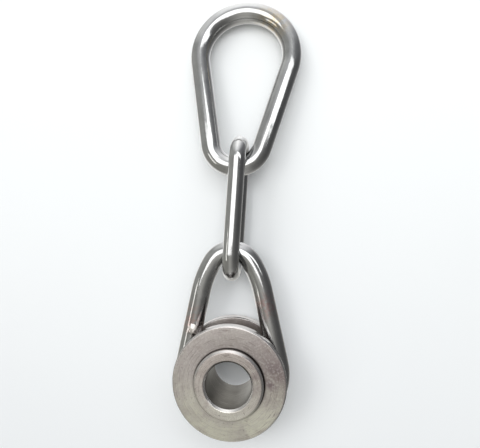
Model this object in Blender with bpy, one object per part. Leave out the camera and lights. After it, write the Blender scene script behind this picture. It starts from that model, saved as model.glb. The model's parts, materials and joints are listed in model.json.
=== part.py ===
"""Thimble eye: a grooved thimble in a pear-shaped bow, with a connecting link and a pear ring.

It lies on a flat surface at Z = 0. The thimble's bore runs along Z, and the origin is where
the bore's axis meets that surface. The bow, the link and the ring lead away along +Y.
Lengths are in metres and angles in radians.
"""
import math

import bmesh
import bpy
from mathutils import Vector

# Thimble: a hub sleeve with a cheek pressed on each end
BORE_RADIUS = 0.0110
BORE_CHAMFER = 0.0011
HUB_RADIUS = 0.0167
HUB_CHAMFER = 0.0010
HUB_PROUD = 0.0027
CORE_RADIUS = 0.0171
CHEEK_RADIUS = 0.0275
CHEEK_THICKNESS = 0.0050
CHEEK_CHAMFER = 0.0005
GROOVE_WIDTH = 0.0130
SEAT_GAP = 0.0003
REAR_CHEEK_Z = HUB_PROUD
FRONT_CHEEK_Z = REAR_CHEEK_Z + CHEEK_THICKNESS + GROOVE_WIDTH
SLEEVE_LENGTH = FRONT_CHEEK_Z + CHEEK_THICKNESS + HUB_PROUD
MID_Z = SLEEVE_LENGTH / 2

# Bow: round bar in a pear shape. Its large arc runs in the groove, a little wider than the
# core and pulled up against it, and its straight sides bend over shoulders to a tight crown
BAR_RADIUS = 0.0050
BOW_LARGE_RADIUS = 0.0240
BOW_SEAT_Y = 0.0015
BOW_SLOPE = math.radians(12.3)
BOW_SHOULDER_RADIUS = 0.0480
BOW_CROWN_RADIUS = 0.0114
BOW_CROWN_Y = 0.0625

# Butt weld on the bow's left leg, measured along Y from the bore's axis
WELD_Y = 0.0243
WELD_HALF_LENGTH = 0.0035
WELD_SWELL = 0.07
WELD_STEPS = 6

# Connecting link: round wire in an oval, standing on edge
WIRE_RADIUS = 0.0040
LINK_LENGTH = 0.0730
LINK_WIDTH = 0.0280
LINK_END_RADIUS = LINK_WIDTH / 2 - WIRE_RADIUS
LINK_SPREAD = LINK_LENGTH - LINK_WIDTH
LINK_LEAN = math.radians(3.8)
LINK_X = 0.0009
EYE_SLACK = 0.0012

# Pear ring: the same bar, its large end on the surface. Its small end has slid round in the
# link's eye by RING_SLIDE from the middle of the small arc
RING_LARGE_RADIUS = 0.02395
RING_SMALL_RADIUS = 0.0135
RING_SPREAD = 0.0461
RING_YAW = math.radians(5.2)
RING_SLIDE = math.radians(11.3)
RING_BAR_Z = 0.0137
RING_REACH = RING_SMALL_RADIUS * math.cos(RING_SLIDE) + RING_SPREAD + RING_LARGE_RADIUS
RING_PITCH = math.asin((RING_BAR_Z - BAR_RADIUS) / RING_REACH)

# Mesh fineness
TURNED_STEPS = 72
BAR_SIDES = 16
ARC_STEP = math.radians(6)
SHARP_ANGLE = math.radians(30)

# Colour, metallic, roughness
POLISHED_STEEL = ((0.63, 0.62, 0.60, 1.0), 1.0, 0.12)
TURNED_STEEL = ((0.56, 0.54, 0.51, 1.0), 1.0, 0.34)


def clear_scene():
    for item in list(bpy.data.objects):
        bpy.data.objects.remove(item, do_unlink=True)


def steel(name, finish):
    colour, metallic, roughness = finish
    material = bpy.data.materials.new(name)
    material.use_nodes = True
    shader = material.node_tree.nodes["Principled BSDF"]
    shader.inputs["Base Color"].default_value = colour
    shader.inputs["Metallic"].default_value = metallic
    shader.inputs["Roughness"].default_value = roughness
    return material


def add_object(name, data, finish):
    data.materials.append(steel(name + "_steel", finish))
    piece = bpy.data.objects.new(name, data)
    bpy.context.scene.collection.objects.link(piece)
    return piece


def turned(name, outline, finish):
    """Turn a closed outline of (radius, z) points about Z."""
    bm = bmesh.new()
    points = [bm.verts.new((radius, 0.0, z)) for radius, z in outline]
    edges = [bm.edges.new((points[i - 1], points[i])) for i in range(len(points))]
    bmesh.ops.spin(
        bm,
        geom=points + edges,
        cent=(0.0, 0.0, 0.0),
        axis=(0.0, 0.0, 1.0),
        angle=math.tau,
        steps=TURNED_STEPS,
        use_merge=True,
    )
    bmesh.ops.recalc_face_normals(bm, faces=bm.faces)
    mesh = bpy.data.meshes.new(name)
    bm.to_mesh(mesh)
    bm.free()
    mesh.shade_smooth()
    mesh.set_sharp_from_angle(angle=SHARP_ANGLE)
    return add_object(name, mesh, finish)


def closed_bar(name, points, bar_radius, swells):
    """A round bar along a closed run of points. swells scales its radius at each point."""
    curve = bpy.data.curves.new(name, "CURVE")
    curve.dimensions = "3D"
    curve.bevel_depth = bar_radius
    curve.bevel_resolution = BAR_SIDES // 2 - 2
    curve.render_resolution_u = 0
    curve.use_fill_caps = True
    spline = curve.splines.new("POLY")
    spline.points.add(len(points) - 1)
    spline.use_cyclic_u = True
    for knot, place, swell in zip(spline.points, points, swells):
        knot.co = (place.x, place.y, place.z, 1.0)
        knot.radius = swell
    return add_object(name, curve, POLISHED_STEEL)


def arc(centre_x, centre_y, radius, start, end):
    """Points on an arc in the XY plane, its two ends included."""
    steps = math.ceil(abs(end - start) / ARC_STEP)
    angles = [start + (end - start) * i / steps for i in range(steps + 1)]
    centre = Vector((centre_x, centre_y, 0.0))
    return [centre + radius * Vector((math.cos(a), math.sin(a), 0.0)) for a in angles]


def pear(large_radius, small_radius, spread):
    """A pear's two arcs, joined by its tangents: the large one about the origin, the small
    one about (0, spread). The run goes round counter-clockwise from the right-hand tangent."""
    slope = math.asin((large_radius - small_radius) / spread)
    small = arc(0.0, spread, small_radius, slope, math.pi - slope)
    large = arc(0.0, 0.0, large_radius, math.pi - slope, math.tau + slope)
    return small, large


def shoulder_centre():
    """Centre of the right shoulder's arc, which is tangent to the straight side and the crown."""
    outward = Vector((math.cos(BOW_SLOPE), math.sin(BOW_SLOPE)))
    upward = Vector((-outward.y, outward.x))
    level = Vector((0.0, BOW_SEAT_Y)) + outward * (BOW_LARGE_RADIUS - BOW_SHOULDER_RADIUS)
    from_crown = level - Vector((0.0, BOW_CROWN_Y - BOW_CROWN_RADIUS))
    reach = BOW_SHOULDER_RADIUS - BOW_CROWN_RADIUS
    middle = from_crown.dot(upward)
    climb = -middle - math.sqrt(middle**2 - from_crown.length_squared + reach**2)
    return level + upward * climb


def bow_arcs():
    """The bow's centre line: shoulders and crown in one run, then the large arc."""
    centre = shoulder_centre()
    crown_y = BOW_CROWN_Y - BOW_CROWN_RADIUS
    turn = math.atan2(crown_y - centre.y, -centre.x)
    right = arc(centre.x, centre.y, BOW_SHOULDER_RADIUS, BOW_SLOPE, turn)
    crown = arc(0.0, crown_y, BOW_CROWN_RADIUS, turn, math.pi - turn)
    left = [Vector((-p.x, p.y, 0.0)) for p in reversed(right)]
    large = arc(0.0, BOW_SEAT_Y, BOW_LARGE_RADIUS, math.pi - BOW_SLOPE, math.tau + BOW_SLOPE)
    return right + crown[1:-1] + left, large


def weld_run(top, bottom):
    """Points across the weld on the leg from top to bottom, with the swell at each."""
    points = []
    swells = []
    for i in range(WELD_STEPS + 1):
        across = 2 * i / WELD_STEPS - 1
        y = WELD_Y - across * WELD_HALF_LENGTH
        points.append(top.lerp(bottom, (top.y - y) / (top.y - bottom.y)))
        swells.append(1 + WELD_SWELL * math.cos(across * math.pi / 2) ** 2)
    return points, swells


def make_hub_sleeve():
    """Its shoulders stop the cheeks, and its ends stand proud of them."""
    shoulder_low = REAR_CHEEK_Z + CHEEK_THICKNESS + SEAT_GAP
    shoulder_high = FRONT_CHEEK_Z - SEAT_GAP
    outline = [
        (BORE_RADIUS, BORE_CHAMFER),
        (BORE_RADIUS + BORE_CHAMFER, 0.0),
        (HUB_RADIUS - HUB_CHAMFER, 0.0),
        (HUB_RADIUS, HUB_CHAMFER),
        (HUB_RADIUS, shoulder_low),
        (CORE_RADIUS, shoulder_low),
        (CORE_RADIUS, shoulder_high),
        (HUB_RADIUS, shoulder_high),
        (HUB_RADIUS, SLEEVE_LENGTH - HUB_CHAMFER),
        (HUB_RADIUS - HUB_CHAMFER, SLEEVE_LENGTH),
        (BORE_RADIUS + BORE_CHAMFER, SLEEVE_LENGTH),
        (BORE_RADIUS, SLEEVE_LENGTH - BORE_CHAMFER),
    ]
    return turned("hub_sleeve", outline, TURNED_STEEL)


def make_cheek(name, low):
    inner = HUB_RADIUS + SEAT_GAP
    high = low + CHEEK_THICKNESS
    outline = [
        (inner, low),
        (CHEEK_RADIUS - CHEEK_CHAMFER, low),
        (CHEEK_RADIUS, low + CHEEK_CHAMFER),
        (CHEEK_RADIUS, high - CHEEK_CHAMFER),
        (CHEEK_RADIUS - CHEEK_CHAMFER, high),
        (inner, high),
    ]
    return turned(name, outline, TURNED_STEEL)


def make_bow():
    """Its origin is on the bore's axis, about which the thimble turns in it."""
    top, large = bow_arcs()
    weld, swells = weld_run(top[-1], large[0])
    points = top + weld + large
    radii = [1.0] * len(top) + swells + [1.0] * len(large)
    bow = closed_bar("bow", points, BAR_RADIUS, radii)
    bow.location = (0.0, 0.0, MID_Z)
    return bow


def make_connecting_link():
    """Its origin is at the bow's crown bar, about which it swings up and down."""
    top = arc(0.0, LINK_SPREAD, LINK_END_RADIUS, 0.0, math.pi)
    bottom = arc(0.0, 0.0, LINK_END_RADIUS, math.pi, math.tau)
    points = [Vector((0.0, p.y - EYE_SLACK, p.x)) for p in top + bottom]
    link = closed_bar("connecting_link", points, WIRE_RADIUS, [1.0] * len(points))
    link.location = (LINK_X, BOW_CROWN_Y, MID_Z)
    link.rotation_euler = (0.0, 0.0, -LINK_LEAN)
    return link


def ring_bar_place():
    """Centre of the ring's small-end bar, in the link's far eye."""
    reach = LINK_SPREAD - 2 * EYE_SLACK
    x = LINK_X + reach * math.sin(LINK_LEAN)
    y = BOW_CROWN_Y + reach * math.cos(LINK_LEAN)
    return Vector((x, y, RING_BAR_Z))


def make_pear_ring():
    """Its origin is the centre of its small arc, about which it swings in the link."""
    small, large = pear(RING_LARGE_RADIUS, RING_SMALL_RADIUS, RING_SPREAD)
    points = [Vector((-p.x, RING_SPREAD - p.y, 0.0)) for p in small + large]
    ring = closed_bar("pear_ring", points, BAR_RADIUS, [1.0] * len(points))
    ring.rotation_euler = (-RING_PITCH, 0.0, -RING_YAW)
    to_centre = Vector((-math.sin(RING_SLIDE), math.cos(RING_SLIDE), 0.0))
    to_centre.rotate(ring.rotation_euler)
    ring.location = ring_bar_place() + to_centre * RING_SMALL_RADIUS
    return ring


clear_scene()
make_hub_sleeve()
make_cheek("rear_cheek", REAR_CHEEK_Z)
make_cheek("front_cheek", FRONT_CHEEK_Z)
make_bow()
make_connecting_link()
make_pear_ring()
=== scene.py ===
"""Looks for the thimble eye: finely modelled steel pieces, procedural materials, floor, lights and camera.

Lengths are in metres and angles in radians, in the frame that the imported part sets.
"""
import json
import math

import bmesh
import bpy
from mathutils import Euler, Matrix, Vector, noise


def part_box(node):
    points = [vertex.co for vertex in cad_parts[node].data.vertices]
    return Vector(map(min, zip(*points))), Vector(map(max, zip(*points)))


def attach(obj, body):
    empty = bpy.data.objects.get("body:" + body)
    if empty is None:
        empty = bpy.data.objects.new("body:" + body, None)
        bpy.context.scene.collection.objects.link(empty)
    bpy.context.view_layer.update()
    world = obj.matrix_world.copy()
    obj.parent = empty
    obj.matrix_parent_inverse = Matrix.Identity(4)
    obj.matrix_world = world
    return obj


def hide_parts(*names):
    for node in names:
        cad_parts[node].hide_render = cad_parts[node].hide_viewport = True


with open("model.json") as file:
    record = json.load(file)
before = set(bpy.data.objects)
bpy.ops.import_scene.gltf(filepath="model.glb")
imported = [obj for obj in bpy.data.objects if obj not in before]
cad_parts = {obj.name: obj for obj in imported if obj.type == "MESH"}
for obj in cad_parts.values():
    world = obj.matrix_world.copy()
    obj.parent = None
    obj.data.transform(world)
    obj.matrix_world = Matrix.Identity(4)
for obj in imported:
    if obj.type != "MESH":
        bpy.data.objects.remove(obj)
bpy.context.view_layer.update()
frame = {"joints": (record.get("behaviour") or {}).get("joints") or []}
JOINTS = {joint["name"]: joint for joint in frame["joints"]}

# --- Driving dimensions, as in the CAD --------------------------------------------------------
CHEEK_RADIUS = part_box("front_cheek")[1].x
REAR_CHEEK_Z = (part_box("rear_cheek")[0].z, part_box("rear_cheek")[1].z)
FRONT_CHEEK_Z = (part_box("front_cheek")[0].z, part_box("front_cheek")[1].z)
SLEEVE_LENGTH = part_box("hub_sleeve")[1].z
MIDDLE_Z = SLEEVE_LENGTH / 2
CORE_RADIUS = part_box("hub_sleeve")[1].x
HUB_RADIUS = 0.0167
HUB_CHAMFER = 0.0010
BORE_RADIUS = 0.0110
BORE_CHAMFER = 0.0011

BAR_RADIUS = 0.0050
BOW_LARGE_RADIUS = 0.0240
BOW_SEAT_Y = 0.0015
BOW_SLOPE = math.radians(12.3)
BOW_SHOULDER_RADIUS = 0.0480
BOW_CROWN_RADIUS = 0.0114
BOW_CROWN_Y = 0.0625

WIRE_RADIUS = 0.0040
LINK_END_RADIUS = 0.0100
LINK_SPREAD = 0.0450
LINK_LEAN = math.radians(3.8)
EYE_SLACK = 0.0012

RING_LARGE_RADIUS = 0.02395
RING_SMALL_RADIUS = 0.0135
RING_SPREAD = 0.0461

# --- Finer detail than the CAD's --------------------------------------------------------------
FIT_GAP = 0.00012
SLEEVE_ROUNDING = 0.00012
CHEEK_EDGE = 0.0006
CHEEK_LIP = 0.0005
CHEEK_ROUNDING = 0.00015
CORNER_STEPS = 4
CORNER_SHARE = 0.45
TURN_STEPS = 256
PATH_STEP = 0.0005
BAR_SIDES = 56
WIRE_SIDES = 48
SHARP_ANGLE = math.radians(35)

# Unevenness as (amount, about how many bumps in a metre)
BOW_DENTS = (0.00003, 60.0)
LINK_DENTS = (0.00003, 70.0)
RING_DENTS = (0.00004, 45.0)

# The bow's weld: a low collar with a notch near each end, and a proud bead on one side
WELD_PLACE = Vector((-0.0196, 0.0243, 0.0))
WELD_HALF_LENGTH = 0.0035
COLLAR_HEIGHT = 0.00006
COLLAR_RIPPLE = (0.00005, 600.0)
NOTCH_DEPTH = 0.00014
NOTCH_PLACE = 0.8
NOTCH_SHARPNESS = 6
NOTCH_RIPPLE = (1.0, 350.0)
NOTCH_SHARE = 0.3
BEAD_TURN = math.radians(102)
BEAD_SHIFT = Vector((0.0, -0.0008, 0.0))
BEAD_RADIUS = 0.0026
BEAD_HEIGHT = 0.00045
BEAD_BORDER = (0.0007, 700.0)
BEAD_RIPPLE = (0.5, 1500.0)
BEAD_METAL_SHARE = 0.85


# --- Mesh tools -------------------------------------------------------------------------------
def new_mesh_object(name, bm):
    bmesh.ops.recalc_face_normals(bm, faces=bm.faces)
    mesh = bpy.data.meshes.new(name)
    bm.to_mesh(mesh)
    bm.free()
    mesh.shade_smooth()
    mesh.set_sharp_from_angle(angle=SHARP_ANGLE)
    piece = bpy.data.objects.new(name, mesh)
    bpy.context.scene.collection.objects.link(piece)
    return piece


def rounded(outline, radius):
    """The closed outline with each corner cut back and replaced by a small curve."""
    points = []
    count = len(outline)
    for i, corner in enumerate(outline):
        here = Vector(corner)
        before = Vector(outline[i - 1]) - here
        after = Vector(outline[(i + 1) % count]) - here
        reach = min(radius, before.length * CORNER_SHARE, after.length * CORNER_SHARE)
        start = here + before.normalized() * reach
        end = here + after.normalized() * reach
        for k in range(CORNER_STEPS + 1):
            part = k / CORNER_STEPS
            points.append(start.lerp(here, part).lerp(here.lerp(end, part), part))
    return points


def turned(name, outline):
    """Turns a closed outline of (radius, z) points about Z."""
    bm = bmesh.new()
    verts = [bm.verts.new((p[0], 0.0, p[1])) for p in outline]
    edges = [bm.edges.new((verts[i - 1], verts[i])) for i in range(len(verts))]
    bmesh.ops.spin(bm, geom=verts + edges, cent=(0, 0, 0), axis=(0, 0, 1), angle=math.tau,
                   steps=TURN_STEPS, use_merge=True)
    return new_mesh_object(name, bm)


def closed_bar(name, path, sides, radius_at):
    """A round bar along the closed path in the local XY plane. radius_at(turn, place) is its
    radius at a place on the path, and turn the angle round the bar, from the path's outer side
    towards +Z. The UV map holds the length along the bar and the share of a turn round it."""
    count = len(path)
    lengths = [0.0]
    for i in range(count):
        lengths.append(lengths[-1] + (path[(i + 1) % count] - path[i]).length)
    bm = bmesh.new()
    layer = bm.loops.layers.uv.new("bar")
    rings = []
    for i, place in enumerate(path):
        tangent = (path[(i + 1) % count] - path[i - 1]).normalized()
        outward = tangent.cross(Vector((0, 0, 1)))
        ring = []
        for k in range(sides):
            turn = math.tau * k / sides
            out = outward * math.cos(turn) + Vector((0, 0, math.sin(turn)))
            ring.append(bm.verts.new(place + out * radius_at(turn, place)))
        rings.append(ring)
    for i, ring in enumerate(rings):
        following = rings[(i + 1) % count]
        for k in range(sides):
            beside = (k + 1) % sides
            face = bm.faces.new((ring[k], ring[beside], following[beside], following[k]))
            spots = ((i, k), (i, k + 1), (i + 1, k + 1), (i + 1, k))
            for loop, (along, round_it) in zip(face.loops, spots):
                loop[layer].uv = (lengths[along], round_it / sides)
    return new_mesh_object(name, bm)


def arc(centre_x, centre_y, radius, start, end):
    """Points on an arc in the XY plane, its two ends included."""
    count = max(2, math.ceil(abs(end - start) * radius / PATH_STEP))
    angles = [start + (end - start) * i / count for i in range(count + 1)]
    centre = Vector((centre_x, centre_y, 0.0))
    return [centre + radius * Vector((math.cos(a), math.sin(a), 0.0)) for a in angles]


def straight(start, end):
    """Points between start and end, neither included."""
    count = max(2, math.ceil((end - start).length / PATH_STEP))
    return [start.lerp(end, i / count) for i in range(1, count)]


def with_sides(top, bottom):
    """Closes two stretches of path with straight sides between them."""
    return top + straight(top[-1], bottom[0]) + bottom + straight(bottom[-1], top[0])


def pear_path(large, small, spread):
    """Counter-clockwise pear outline: large arc about the origin, small arc about (0, spread).
    With two equal radii it is an oval."""
    slope = math.asin((large - small) / spread)
    top = arc(0.0, spread, small, slope, math.pi - slope)
    bottom = arc(0.0, 0.0, large, math.pi - slope, math.tau + slope)
    return with_sides(top, bottom)


def bow_path():
    """Counter-clockwise bow outline: shoulders and a tight crown, straight sides, large arc."""
    outward = Vector((math.cos(BOW_SLOPE), math.sin(BOW_SLOPE)))
    upward = Vector((-outward.y, outward.x))
    crown_y = BOW_CROWN_Y - BOW_CROWN_RADIUS
    level = Vector((0.0, BOW_SEAT_Y)) + outward * (BOW_LARGE_RADIUS - BOW_SHOULDER_RADIUS)
    from_crown = level - Vector((0.0, crown_y))
    reach = BOW_SHOULDER_RADIUS - BOW_CROWN_RADIUS
    middle = from_crown.dot(upward)
    climb = -middle - math.sqrt(middle**2 - from_crown.length_squared + reach**2)
    shoulder = level + upward * climb
    turn = math.atan2(crown_y - shoulder.y, -shoulder.x)
    right = arc(shoulder.x, shoulder.y, BOW_SHOULDER_RADIUS, BOW_SLOPE, turn)
    crown = arc(0.0, crown_y, BOW_CROWN_RADIUS, turn, math.pi - turn)
    left = [Vector((-p.x, p.y, 0.0)) for p in reversed(right)]
    large = arc(0.0, BOW_SEAT_Y, BOW_LARGE_RADIUS, math.pi - BOW_SLOPE, math.tau + BOW_SLOPE)
    return with_sides(right + crown[1:-1] + left, large)


# --- Node tools -------------------------------------------------------------------------------
class Nodes:
    """Short names for building the nodes of a material or a world."""

    def __init__(self, owner):
        owner.use_nodes = True
        self.owner = owner
        self.tree = owner.node_tree

    def add(self, kind, **values):
        node = self.tree.nodes.new(kind)
        for key, value in values.items():
            setattr(node, key, value)
        return node

    def feed(self, socket, value):
        if isinstance(value, bpy.types.NodeSocket):
            self.tree.links.new(value, socket)
        else:
            socket.default_value = value

    def coords(self, output="Object"):
        return self.add("ShaderNodeTexCoord").outputs[output]

    def xyz(self, vector):
        node = self.add("ShaderNodeSeparateXYZ")
        self.feed(node.inputs[0], vector)
        return node.outputs

    def scaled(self, vector, scale):
        node = self.add("ShaderNodeMapping")
        self.feed(node.inputs["Vector"], vector)
        node.inputs["Scale"].default_value = scale
        return node.outputs[0]

    def distance(self, vector, place):
        node = self.add("ShaderNodeVectorMath", operation="DISTANCE")
        self.feed(node.inputs[0], vector)
        node.inputs[1].default_value = place
        return node.outputs["Value"]

    def math(self, operation, a, b=0.0, c=0.0):
        node = self.add("ShaderNodeMath", operation=operation)
        for socket, value in zip(node.inputs, (a, b, c)):
            self.feed(socket, value)
        return node.outputs[0]

    def plus(self, a, b):
        return self.math("ADD", a, b)

    def times(self, a, b):
        return self.math("MULTIPLY", a, b)

    def noise(self, vector, scale, detail=3.0, roughness=0.55, distortion=0.0):
        node = self.add("ShaderNodeTexNoise")
        self.feed(node.inputs["Vector"], vector)
        node.inputs["Scale"].default_value = scale
        node.inputs["Detail"].default_value = detail
        node.inputs["Roughness"].default_value = roughness
        node.inputs["Distortion"].default_value = distortion
        return node.outputs["Fac"]

    def spread(self, value, low, high, to_low=0.0, to_high=1.0, curve="LINEAR"):
        node = self.add("ShaderNodeMapRange", clamp=True, interpolation_type=curve)
        for socket, given in zip(node.inputs, (value, low, high, to_low, to_high)):
            self.feed(socket, given)
        return node.outputs[0]

    def ramp(self, value, stops):
        node = self.add("ShaderNodeValToRGB")
        self.feed(node.inputs[0], value)
        elements = node.color_ramp.elements
        while len(elements) < len(stops):
            elements.new(0.5)
        for element, (position, colour) in zip(elements, stops):
            element.position = position
            element.color = (*colour, 1.0)
        return node.outputs[0]

    def mix(self, factor, a, b, blend="MIX"):
        node = self.add("ShaderNodeMix", data_type="RGBA", blend_type=blend)
        self.feed(node.inputs["Factor"], factor)
        for name, value in (("A", a), ("B", b)):
            socket = [s for s in node.inputs if s.name == name and s.type == "RGBA"][0]
            self.feed(socket, value if isinstance(value, bpy.types.NodeSocket) else (*value, 1.0))
        return [s for s in node.outputs if s.type == "RGBA"][0]

    def bump(self, height, distance, strength=1.0, normal=None):
        node = self.add("ShaderNodeBump")
        self.feed(node.inputs["Height"], height)
        node.inputs["Distance"].default_value = distance
        node.inputs["Strength"].default_value = strength
        if normal is not None:
            self.feed(node.inputs["Normal"], normal)
        return node.outputs[0]

    def finish(self, shader="Principled BSDF", **values):
        for key, value in values.items():
            self.feed(self.tree.nodes[shader].inputs[key.replace("_", " ")], value)
        return self.owner


# --- Materials --------------------------------------------------------------------------------
BAR_DULL = (0.48, 0.483, 0.483)
BAR_CLEAN = (0.60, 0.603, 0.60)
BAR_LINE = (0.36, 0.355, 0.35)

# Heat tints as (place, reach, hue, amount)
BOW_TINTS = (
    (WELD_PLACE + Vector((0.0, 0.004, MIDDLE_Z + BAR_RADIUS)), 0.010, (0.55, 0.38, 0.35), 0.8),
    (Vector((0.0178, 0.0355, MIDDLE_Z + BAR_RADIUS)), 0.0085, (0.56, 0.36, 0.35), 0.9),
)
RING_TINTS = ((Vector((0.0200, 0.1790, 0.0100)), 0.012, (0.52, 0.41, 0.24), 0.8),)

# Turned faces as (base, stain, roughness)
HUB_LOOK = ((1.0, 1.0, 0.89), (0.57, 0.49, 0.475), 0.28)
CHEEK_LOOK = ((0.835, 0.825, 0.70), (0.47, 0.415, 0.42), 0.36)
# The colour that a turned face darkens towards across the middle of its right side
RIGHT_SIDE_DARK = (0.20, 0.15, 0.16)
BROWN_STAIN = (0.435, 0.38, 0.36)
TOOL_MARK = (0.34, 0.315, 0.29)
PALE_FLECK = (0.79, 0.775, 0.74)
DARK_SPECK = (0.25, 0.22, 0.20)
SCRATCH = (0.24, 0.20, 0.18)
RUBBED = (0.62, 0.61, 0.60)
RUB_WIDTH = 0.0003
CHEEK_RUB = 0.0008
# Painted shadow and shade round the hub's foot, with some grime: its colour, where it is full and where it
# ends
HUB_SHADOW_AND_GRIME = (0.045, 0.038, 0.034)
SHADOW_AND_GRIME_FULL = 0.0003
SHADOW_AND_GRIME_REACH = 0.0013
HUB_WALL = 0.00002

# Painted shade for the bore's wall, as two very dark brownish tones
BORE_PAINTED_SHADE = ((0.135, 0.127, 0.108), (0.095, 0.087, 0.073))
BORE_RING = (0.38, 0.36, 0.32)
WELD_METAL = ((0.70, 0.66, 0.63), (0.86, 0.83, 0.80))

BACKDROP = (0.86, 0.885, 0.90)
# Floor paint from -Y to +Y, lighter towards +Y as painted light
FLOOR_PAINT_AND_LIGHT = ((0.865, 0.89, 0.915), (0.93, 0.955, 0.97))
FLOOR_MIDDLE = (0.0, 0.08, 0.0)
FLOOR_FADE = (0.20, 1.1)
BLACK = (0.0, 0.0, 0.0)
WHITE = (1.0, 1.0, 1.0)


def polished_steel(name, tints=()):
    """Bright polished bar: fine lines along it, soft waviness, a few wiping marks and heat tints."""
    n = Nodes(bpy.data.materials.new(name))
    here = n.coords()
    along = n.scaled(n.coords("UV"), (60.0, 150.0, 1.0))
    lines = n.noise(along, 1.0, detail=4.0, roughness=0.7)
    smears = n.noise(here, 90.0, detail=4.0, roughness=0.6)
    waves = n.noise(here, 160.0, detail=1.0)
    pits = n.noise(here, 2600.0, detail=2.0)
    colour = n.mix(n.spread(smears, 0.3, 0.7), BAR_DULL, BAR_CLEAN)
    colour = n.mix(n.spread(lines, 0.42, 0.68, 0.0, 0.42), colour, BAR_LINE)
    for place, reach, hue, amount in tints:
        near = n.spread(n.distance(here, place), reach, 0.0)
        patch = n.times(near, n.spread(n.noise(here, 420.0, detail=4.0), 0.35, 0.62))
        colour = n.mix(n.times(patch, amount), colour, hue)
    rough = n.plus(n.spread(smears, 0.35, 0.75, 0.085, 0.165),
                   n.spread(lines, 0.45, 0.75, 0.0, 0.10))
    normal = n.bump(waves, 0.00010, 0.7)
    normal = n.bump(lines, 0.000008, 0.7, normal)
    normal = n.bump(pits, 0.000003, 0.35, normal)
    return n.finish(Base_Color=colour, Metallic=1.0, Roughness=rough, Normal=normal)


def tool_marks(n, here, radius, z):
    """Fine concentric marks that wander a little, and run on over the rims."""
    wobble = n.times(n.noise(here, 60.0), 0.0005)
    node = n.add("ShaderNodeTexNoise", noise_dimensions="1D")
    n.feed(node.inputs["W"], n.plus(n.plus(radius, wobble), n.times(z, 0.7)))
    node.inputs["Scale"].default_value = 3600.0
    node.inputs["Detail"].default_value = 3.0
    return node.outputs["Fac"]


def scratched_arcs(n, x, y, radius):
    """Short scratches that run round the bore's axis."""
    node = n.add("ShaderNodeCombineXYZ")
    n.feed(node.inputs[0], n.times(radius, 2600.0))
    n.feed(node.inputs[1], n.times(n.math("ARCTAN2", y, x), 2.2))
    return n.spread(n.noise(node.outputs[0], 1.0, detail=2.0, roughness=0.6), 0.58, 0.66)


def hub_shadow_and_grime(n, x, radius):
    """Painted shade in the corner where the hub stands out of a cheek, with some grime, thicker towards +X
    where the hub's painted shadow falls.
    """
    corner = n.spread(radius, HUB_RADIUS + SHADOW_AND_GRIME_REACH, HUB_RADIUS + SHADOW_AND_GRIME_FULL)
    outside = n.spread(radius, HUB_RADIUS - HUB_WALL, HUB_RADIUS + HUB_WALL)
    return n.times(n.times(corner, outside), n.spread(x, -0.006, 0.010, 0.25, 0.92))


def rubbed_edges(n, radius, inner, outer):
    """Rises from none to full just inside the inner radius, and just outside the outer one."""
    return n.plus(n.spread(radius, outer, outer + RUB_WIDTH),
                  n.spread(radius, inner, inner - RUB_WIDTH))


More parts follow.
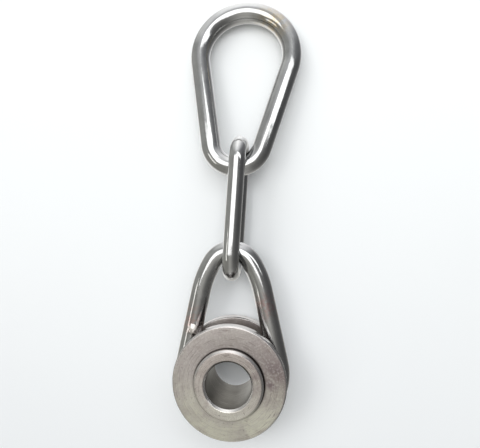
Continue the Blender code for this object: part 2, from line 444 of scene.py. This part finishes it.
def turned_steel(name, base, stain, roughness, inner, outer):
    """Turned face: fine concentric tool marks, warm and pinkish stains, a tone that turns darker and
    pinker towards its upper right and darkest across the middle of its right side, dull specks,
    scratched arcs and shallow dents. Its inner and outer edges are rubbed bright, and painted shade
    with some grime fills the corner round the hub, heaviest towards +X where the hub's painted
    shadow falls."""
    n = Nodes(bpy.data.materials.new(name))
    here = n.coords()
    x, y, z = n.xyz(here)
    radius = n.math("SQRT", n.plus(n.times(x, x), n.times(y, y)))
    marks = tool_marks(n, here, radius, z)
    blotches = n.noise(here, 70.0, detail=5.0, roughness=0.62, distortion=0.8)
    patches = n.noise(n.scaled(here, (1.0, 1.0, 0.3)), 210.0, detail=4.0, roughness=0.7)
    fine = n.noise(here, 1100.0, detail=3.0)
    specks = n.noise(here, 1500.0, detail=1.0)

    drift = n.times(n.math("SUBTRACT", blotches, 0.5), 0.03)
    drifted_y = n.plus(y, drift)
    right = n.spread(n.plus(x, drift), 0.004, 0.021)
    upper = n.spread(drifted_y, -0.020, 0.008)
    # Darkest across the middle of the right side
    right_darkening = n.times(right, n.spread(drifted_y, -0.014, 0.002))
    right_darkening = n.times(right_darkening, n.spread(y, 0.004, 0.020, 0.95, 0.35))
    upper_right_share = n.math("MULTIPLY_ADD", n.math("MAXIMUM", right, upper), 0.75, 0.25)
    stains = n.times(n.spread(patches, 0.48, 0.66, 0.0, 0.65), upper_right_share)
    scratches = n.times(scratched_arcs(n, x, y, radius), n.times(upper_right_share, 0.75))
    edge = rubbed_edges(n, radius, inner, outer)

    colour = n.mix(n.spread(blotches, 0.40, 0.62, 0.0, 0.4), base, stain)
    # Darker and pinker towards the upper side
    colour = n.mix(n.times(upper, 0.75), colour, stain)
    colour = n.mix(right_darkening, colour, RIGHT_SIDE_DARK)
    colour = n.mix(stains, colour, BROWN_STAIN)
    colour = n.mix(n.spread(marks, 0.5, 0.72, 0.0, 0.45), colour, TOOL_MARK)
    colour = n.mix(n.spread(fine, 0.50, 0.68, 0.0, 0.35), colour, PALE_FLECK)
    colour = n.mix(n.spread(specks, 0.69, 0.75, 0.0, 0.75), colour, DARK_SPECK)
    colour = n.mix(scratches, colour, SCRATCH)
    colour = n.mix(n.times(edge, 0.8), colour, RUBBED)
    # Painted shadow and shade in the corner round the hub, with some grime, heavier towards +X
    colour = n.mix(hub_shadow_and_grime(n, x, radius), colour, HUB_SHADOW_AND_GRIME)

    rough = n.plus(n.spread(blotches, 0.3, 0.7, roughness - 0.05, roughness + 0.06),
                   n.spread(marks, 0.3, 0.7, -0.05, 0.06))
    rough = n.times(rough, n.math("SUBTRACT", 1.0, n.times(edge, 0.62)))
    normal = n.bump(marks, 0.00004, 0.8)
    normal = n.bump(fine, 0.00003, 0.5, normal)
    tangent = n.add("ShaderNodeTangent", direction_type="RADIAL", axis="Z")
    return n.finish(Base_Color=colour, Metallic=0.88, Roughness=rough, Normal=normal,
                    Anisotropic=0.35, Tangent=tangent.outputs[0])


def bore_steel(name):
    """The reamed bore: dull, with painted shade that colours it very dark and brownish, and fine paler
    rings round it.
    """
    n = Nodes(bpy.data.materials.new(name))
    here = n.coords()
    rings = n.noise(n.scaled(here, (60.0, 60.0, 2400.0)), 1.0, detail=3.0, roughness=0.7)
    shade_blotches = n.noise(here, 160.0, detail=4.0)
    # Painted shade: the bore's wall is coloured very dark
    colour = n.mix(n.spread(shade_blotches, 0.35, 0.65), *BORE_PAINTED_SHADE)
    colour = n.mix(n.spread(rings, 0.58, 0.72, 0.0, 0.6), colour, BORE_RING)
    rough = n.spread(rings, 0.3, 0.7, 0.26, 0.42)
    return n.finish(Base_Color=colour, Metallic=1.0, Roughness=rough,
                    Normal=n.bump(rings, 0.00002, 0.5))


def weld_steel(name):
    """Rough, whitish weld metal."""
    n = Nodes(bpy.data.materials.new(name))
    here = n.coords()
    grain = n.noise(here, 1500.0, detail=4.0)
    patches = n.noise(here, 500.0, detail=3.0)
    colour = n.mix(n.spread(patches, 0.35, 0.65), *WELD_METAL)
    rough = n.spread(grain, 0.3, 0.7, 0.25, 0.5)
    return n.finish(Base_Color=colour, Metallic=1.0, Roughness=rough,
                    Normal=n.bump(grain, 0.00006, 0.6))


def floor_paint_and_light(name):
    """Matt pale paint with painted light: lighter towards +Y, as the light falls, and at a distance from
    the object it glows evenly in the backdrop's colour and melts into the backdrop.
    """
    n = Nodes(bpy.data.materials.new(name))
    here = n.coords()
    y = n.xyz(here)[1]
    cloud = n.times(n.math("SUBTRACT", n.noise(here, 6.0, detail=3.0), 0.5), 0.1)
    # Painted light: the paint is lighter towards +Y
    colour = n.mix(n.spread(n.plus(y, cloud), -0.05, 0.16), *FLOOR_PAINT_AND_LIGHT)
    # Painted light: at a distance the floor turns from paint into a glow of the backdrop's colour
    far = n.spread(n.distance(here, FLOOR_MIDDLE), *FLOOR_FADE, curve="SMOOTHSTEP")
    tooth = n.noise(here, 900.0, detail=3.0)
    return n.finish(Base_Color=n.mix(far, colour, BLACK), Roughness=0.6, Specular_IOR_Level=0.0,
                    Normal=n.bump(tooth, 0.00002, 0.2), Emission_Color=(*BACKDROP, 1.0),
                    Emission_Strength=far)


# --- The thimble ------------------------------------------------------------------------------
def make_sleeve():
    low = REAR_CHEEK_Z[1] + FIT_GAP
    high = FRONT_CHEEK_Z[0] - FIT_GAP
    outline = [
        (BORE_RADIUS, BORE_CHAMFER),
        (BORE_RADIUS + BORE_CHAMFER, 0.0),
        (HUB_RADIUS - HUB_CHAMFER, 0.0),
        (HUB_RADIUS, HUB_CHAMFER),
        (HUB_RADIUS, low),
        (CORE_RADIUS, low),
        (CORE_RADIUS, high),
        (HUB_RADIUS, high),
        (HUB_RADIUS, SLEEVE_LENGTH - HUB_CHAMFER),
        (HUB_RADIUS - HUB_CHAMFER, SLEEVE_LENGTH),
        (BORE_RADIUS + BORE_CHAMFER, SLEEVE_LENGTH),
        (BORE_RADIUS, SLEEVE_LENGTH - BORE_CHAMFER),
    ]
    return turned("turned_hub_sleeve", rounded(outline, SLEEVE_ROUNDING))


def make_cheek(name, span):
    low, high = span
    inner = HUB_RADIUS + FIT_GAP
    outline = [
        (inner, low + CHEEK_LIP),
        (inner + CHEEK_LIP, low),
        (CHEEK_RADIUS - CHEEK_EDGE, low),
        (CHEEK_RADIUS, low + CHEEK_EDGE),
        (CHEEK_RADIUS, high - CHEEK_EDGE),
        (CHEEK_RADIUS - CHEEK_EDGE, high),
        (inner + CHEEK_LIP, high),
        (inner, high - CHEEK_LIP),
    ]
    return turned(name, rounded(outline, CHEEK_ROUNDING))


# --- The bars ---------------------------------------------------------------------------------
def uneven(place, amount, scale):
    """A height of up to about amount either way that wanders with the place."""
    return amount * noise.noise(place * scale)


def bead_distance(spot):
    """Distance from the middle of the weld's proud bead, with a wandering border."""
    outward = Vector((-math.cos(BEAD_TURN), 0.0, math.sin(BEAD_TURN)))
    middle = WELD_PLACE + BEAD_SHIFT + outward * BAR_RADIUS
    return (spot - middle).length + uneven(spot, *BEAD_BORDER)


def weld_swell(turn, place, gap):
    """The weld's height above the bar; gap is 0 at the weld's middle and 1 at its ends."""
    spot = place + Vector((-math.cos(turn), 0.0, math.sin(turn))) * BAR_RADIUS
    bead = max(0.0, 1.0 - (bead_distance(spot) / BEAD_RADIUS) ** 2)
    ripple = 1.0 + uneven(spot, *BEAD_RIPPLE)
    collar = math.cos(gap * math.pi / 2) ** 2 * (COLLAR_HEIGHT + uneven(spot, *COLLAR_RIPPLE))
    nick = max(0.0, 1.0 - abs(gap - NOTCH_PLACE) * NOTCH_SHARPNESS)
    notch = NOTCH_DEPTH * nick * max(0.0, uneven(spot, *NOTCH_RIPPLE) + NOTCH_SHARE)
    return collar + BEAD_HEIGHT * bead * ripple - notch


def bow_radius(turn, place):
    gap = (place - WELD_PLACE).length / WELD_HALF_LENGTH
    swell = weld_swell(turn, place, gap) if gap < 1.0 else 0.0
    return BAR_RADIUS + uneven(place, *BOW_DENTS) + swell


def link_radius(turn, place):
    return WIRE_RADIUS + uneven(place, *LINK_DENTS)


def ring_radius(turn, place):
    return BAR_RADIUS + uneven(place, *RING_DENTS)


def make_bow():
    bow = closed_bar("bow_bar", bow_path(), BAR_SIDES, bow_radius)
    bow.location = JOINTS["bow_turn"]["pos_m"]
    return bow


def make_link():
    """The oval, turned on edge, with its near eye round the bow's crown."""
    path = pear_path(LINK_END_RADIUS, LINK_END_RADIUS, LINK_SPREAD)
    link = closed_bar("link_wire", path, WIRE_SIDES, link_radius)
    upright = Matrix(((0, 0, 1), (0, 1, 0), (-1, 0, 0))).to_4x4()
    back = Matrix.Translation((0, -EYE_SLACK, 0))
    link.data.transform(upright @ back)
    link.location = JOINTS["link_swing"]["pos_m"]
    link.rotation_euler = Euler((0.0, 0.0, -LINK_LEAN))
    return link


def make_ring():
    """The pear, square to its joint's axis, with its small arc centred on the joint."""
    path = pear_path(RING_LARGE_RADIUS, RING_SMALL_RADIUS, RING_SPREAD)
    ring = closed_bar("ring_bar", path, BAR_SIDES, ring_radius)
    about = Matrix.Rotation(math.pi, 4, "Z")
    ring.data.transform(Matrix.Translation((0, RING_SPREAD, 0)) @ about)
    axis = Vector(JOINTS["ring_swing"]["axis"])
    yaw = math.atan2(axis.x, axis.y)
    pitch = math.acos(axis.z)
    ring.location = JOINTS["ring_swing"]["pos_m"]
    ring.rotation_euler = Euler((-pitch, 0.0, -yaw))
    return ring


# --- Putting the pieces in the frame ----------------------------------------------------------
def settle(piece, body, node, slot, *materials):
    """Applies the piece's placing to its mesh, and ties it to the frame."""
    bpy.context.view_layer.update()
    piece.data.transform(piece.matrix_world)
    piece.matrix_world = Matrix.Identity(4)
    for material in materials:
        piece.data.materials.append(material)
    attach(piece, body)
    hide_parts(node)
    return piece


def build_thimble():
    hub = turned_steel("hub_steel", *HUB_LOOK, BORE_RADIUS + BORE_CHAMFER, HUB_RADIUS - HUB_CHAMFER)
    cheek = turned_steel("cheek_steel", *CHEEK_LOOK, HUB_RADIUS, CHEEK_RADIUS - CHEEK_RUB)
    sleeve = settle(make_sleeve(), "thimble", "hub_sleeve", "turned_hub", hub, bore_steel("bore_steel"))
    for face in sleeve.data.polygons:
        if face.center.xy.length < BORE_RADIUS + FIT_GAP:
            face.material_index = 1
    settle(make_cheek("turned_front_cheek", FRONT_CHEEK_Z), "thimble", "front_cheek", "turned_cheek", cheek)
    settle(make_cheek("turned_rear_cheek", REAR_CHEEK_Z), "thimble", "rear_cheek", "turned_cheek", cheek)


def build_chain():
    bow_steel = polished_steel("bow_steel", BOW_TINTS)
    bow = settle(make_bow(), "bow", "bow", "polished_bow", bow_steel, weld_steel("weld_metal"))
    for face in bow.data.polygons:
        if bead_distance(face.center - Vector((0.0, 0.0, MIDDLE_Z))) < BEAD_RADIUS * BEAD_METAL_SHARE:
            face.material_index = 1
    settle(make_link(), "link", "connecting_link", "polished_link", polished_steel("link_steel"))
    ring_steel = polished_steel("ring_steel", RING_TINTS)
    settle(make_ring(), "ring", "pear_ring", "polished_ring", ring_steel)


# --- Stage ------------------------------------------------------------------------------------
CAMERA_PLACE = Vector((0.0237, 0.0747, 0.1968))
CAMERA_AIM = Vector((0.0027, 0.0760, 0.0))
CAMERA_LENS = 27.3
SENSOR_WIDTH = 36.0

FLOOR_REACH = 20.0
FLOOR_CELLS = 8

KEY_DIRECTION = (-0.75, 0.45, 1.0)
KEY_STRENGTH = 0.60
KEY_ANGLE = math.radians(26)
KEY_COLOUR = (1.0, 0.99, 0.97)

# Panels as (name, place, aim, width, height, radiance, colour, slant)
PANELS = (
    ("window", (-0.085, 0.215, 0.60), (-0.085, 0.215, 0.0), 0.61, 0.41, 2.0, WHITE, 0.0),
    ("strip_panel", (0.42, 0.42, 0.60), (0.42, 0.42, 0.0), 0.84, 0.20, 2.4, (0.98, 1.0, 1.0),
     math.radians(-9)),
    ("side_panel", (-0.85, -0.13, 0.62), (0.0, 0.02, 0.0), 0.45, 0.20, 1.5, (1.0, 0.985, 0.95), 0.0),
)

# The room's brightness from -Y to +Y, from -X to +X and from straight below to level
ROOM_LEVEL = 3.0
ROOM_DEPTH = (
    (0.00, (0.41, 0.405, 0.385)),
    (0.08, (0.355, 0.35, 0.33)),
    (0.25, (0.35, 0.345, 0.325)),
    (0.42, (0.38, 0.375, 0.355)),
    (0.50, (0.365, 0.365, 0.355)),
    (0.65, (0.42, 0.42, 0.415)),
    (0.75, (0.50, 0.505, 0.505)),
    (0.82, (0.47, 0.475, 0.48)),
    (0.90, (0.95, 0.96, 0.965)),
    (1.00, (1.20, 1.20, 1.20)),
)
ROOM_SIDE = (
    (0.00, (0.74, 0.74, 0.72)),
    (0.12, (0.64, 0.64, 0.62)),
    (0.25, (0.62, 0.62, 0.61)),
    (0.36, (0.85, 0.85, 0.85)),
    (0.45, (1.00, 1.00, 1.00)),
    (0.55, (0.95, 0.95, 0.95)),
    (0.65, (0.72, 0.72, 0.73)),
    (0.80, (0.38, 0.38, 0.39)),
    (1.00, (0.20, 0.20, 0.21)),
)
ROOM_BELOW = (
    (0.00, (0.66, 0.66, 0.66)),
    (0.20, (0.64, 0.64, 0.64)),
    (0.40, (0.56, 0.56, 0.56)),
    (0.60, (0.48, 0.48, 0.48)),
    (1.00, (0.50, 0.50, 0.50)),
)

# The lit floor's glow, each range running from none to full
FLOOR_GLOW = 0.95
GLOW_DOWN = (-0.40, -0.75)
GLOW_LEFT = (-0.15, -0.55)
GLOW_AHEAD = (0.15, 0.55)
GLOW_AHEAD_SHARE = 0.4


def make_floor():
    bm = bmesh.new()
    bmesh.ops.create_grid(bm, x_segments=FLOOR_CELLS, y_segments=FLOOR_CELLS, size=FLOOR_REACH)
    floor = new_mesh_object("floor", bm)
    floor.data.materials.append(floor_paint_and_light("floor_paint_and_light"))
    floor.visible_glossy = False


def add_lamp(name, kind, turn, colour):
    lamp = bpy.data.lights.new(name, kind)
    lamp.color = colour
    item = bpy.data.objects.new(name, lamp)
    item.rotation_euler = turn.to_euler()
    bpy.context.scene.collection.objects.link(item)
    return item


def make_key():
    """Even, soft light from the upper left, which the bars don't mirror."""
    key = add_lamp("key", "SUN", Vector(KEY_DIRECTION).to_track_quat("Z", "Y"), KEY_COLOUR)
    key.data.energy = KEY_STRENGTH
    key.data.angle = KEY_ANGLE
    key.visible_glossy = False


def make_panels():
    """The bright panels that the polished bars mirror."""
    for name, place, aim, width, height, radiance, colour, slant in PANELS:
        turn = (Vector(aim) - Vector(place)).to_track_quat("-Z", "Y")
        panel = add_lamp(name, "AREA", turn, colour)
        panel.location = place
        panel.rotation_euler.rotate_axis("Z", slant)
        panel.data.shape = "RECTANGLE"
        panel.data.size = width
        panel.data.size_y = height
        panel.data.energy = radiance * math.pi * width * height
        panel.visible_camera = False


def make_world():
    """The room as the bars see it: brightest towards +Y, dim towards -Y, dark on the right, with
    the lit floor glowing below, most of all on the left. The camera sees a pale backdrop."""
    n = Nodes(bpy.data.worlds.new("studio"))
    x, y, z = n.xyz(n.coords("Generated"))
    depth = n.ramp(n.spread(y, -1.0, 1.0), ROOM_DEPTH)
    side = n.ramp(n.spread(x, -1.0, 1.0), ROOM_SIDE)
    below = n.ramp(n.spread(z, -1.0, 0.0), ROOM_BELOW)
    room = n.mix(1.0, n.mix(1.0, depth, side, "MULTIPLY"), below, "MULTIPLY")
    room = n.mix(1.0, room, (ROOM_LEVEL,) * 3, "MULTIPLY")
    ahead = n.times(n.spread(y, *GLOW_AHEAD), GLOW_AHEAD_SHARE)
    lit_side = n.math("MAXIMUM", n.spread(x, *GLOW_LEFT), ahead)
    glow = n.times(n.spread(z, *GLOW_DOWN), lit_side)
    room = n.mix(n.times(glow, FLOOR_GLOW), room, WHITE, "ADD")
    seen = n.add("ShaderNodeLightPath").outputs["Is Camera Ray"]
    bpy.context.scene.world = n.finish("Background", Color=n.mix(seen, room, BACKDROP))


def make_camera():
    """Almost straight above the chain, with +Y up in the picture."""
    data = bpy.data.cameras.new("camera")
    data.sensor_width = SENSOR_WIDTH
    data.lens = CAMERA_LENS
    camera = bpy.data.objects.new("camera", data)
    backward = (CAMERA_PLACE - CAMERA_AIM).normalized()
    right = Vector((0.0, 1.0, 0.0)).cross(backward).normalized()
    turn = Matrix((right, backward.cross(right), backward)).transposed()
    camera.matrix_world = Matrix.Translation(CAMERA_PLACE) @ turn.to_4x4()
    bpy.context.scene.collection.objects.link(camera)
    bpy.context.scene.camera = camera


bpy.context.scene.view_settings.view_transform = "Standard"
build_thimble()
build_chain()
make_floor()
make_key()
make_panels()
make_world()
make_camera()
